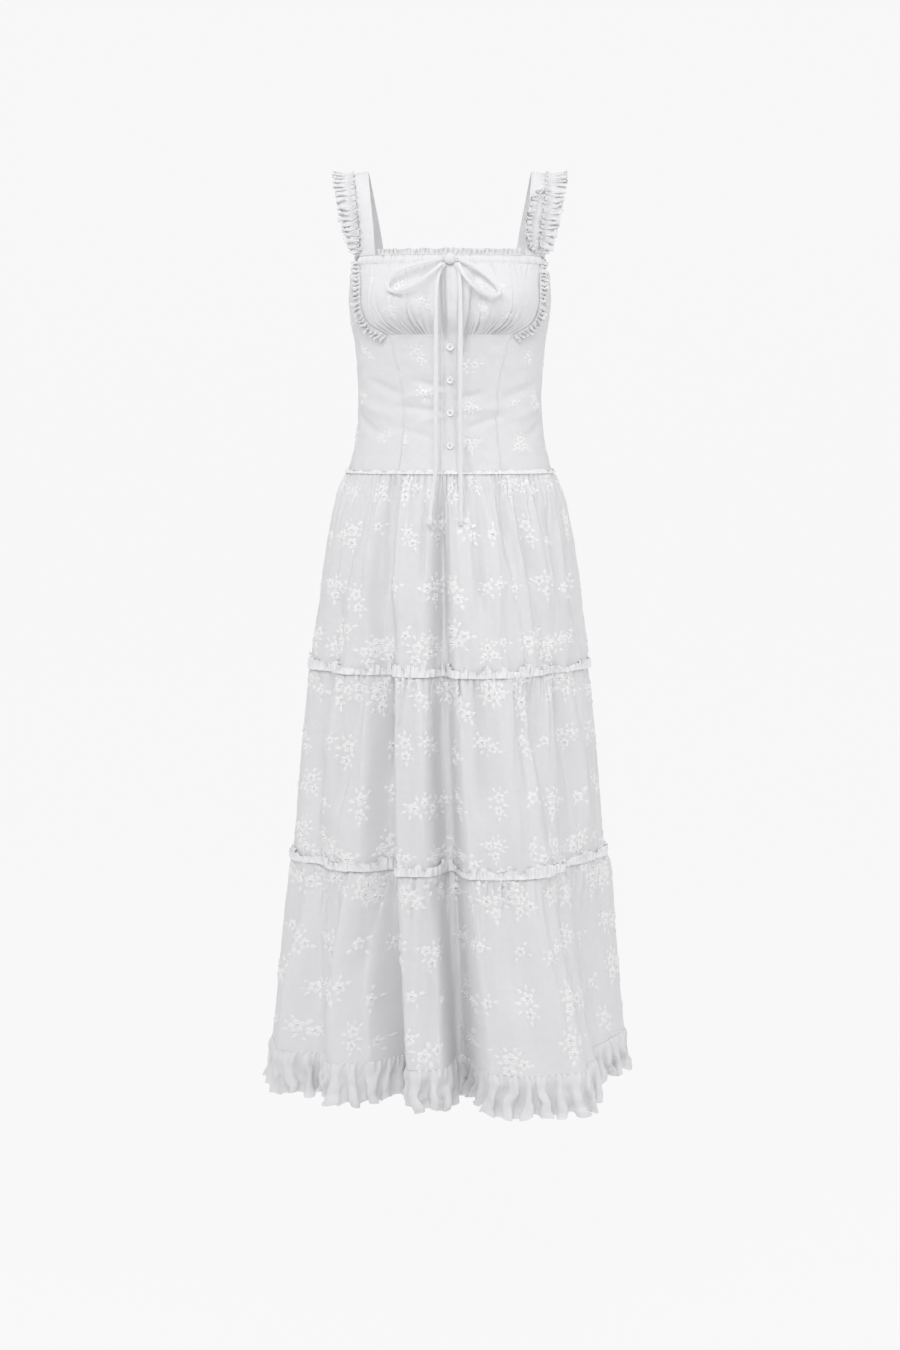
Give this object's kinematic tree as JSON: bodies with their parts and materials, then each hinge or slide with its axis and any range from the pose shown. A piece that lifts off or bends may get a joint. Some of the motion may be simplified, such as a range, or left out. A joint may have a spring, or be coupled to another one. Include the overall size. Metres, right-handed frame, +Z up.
{
  "type": "maxi dress",
  "caption": "Sleeveless white cotton maxi dress with wide frilled straps, gathered cups with a drawstring bow, a fitted buttoned bodice and a tiered skirt with a frilled hem.",
  "frame": {"origin": "midway between the tops of the two shoulder straps, where the wearer's shoulders carry the dress", "axes": "+Z up along the dress, -Y out of its front, +X to the wearer's left"},
  "size_m": [0.5386, 0.4591, 1.2947],
  "materials": {
    "cotton": "matt bleached cotton voile with white embroidery",
    "buttons": "polished white shell"
  },
  "bodies": {
    "root": {"back_panel": "cotton", "bow_knot": "cotton", "bow_loop_left": "cotton", "bow_loop_right": "cotton", "cup_frill_left": "cotton", "cup_frill_right": "cotton", "cup_left": "cotton", "cup_right": "cotton", "front_panel_left": "cotton", "front_panel_right": "cotton", "hem_frill": "cotton", "neck_casing": "cotton", "neck_frill": "cotton", "placket": "cotton", "seam_frill_1": "cotton", "seam_frill_2": "cotton", "side_panel_left": "cotton", "side_panel_right": "cotton", "skirt_tier_1": "cotton", "skirt_tier_2": "cotton", "skirt_tier_3": "cotton", "strap_frill_left": "cotton", "strap_frill_right": "cotton", "strap_left": "cotton", "strap_right": "cotton", "tie_left": "cotton", "tie_right": "cotton", "button_1": "buttons", "button_2": "buttons", "button_3": "buttons", "button_4": "buttons"}
  },
  "joints": []
}
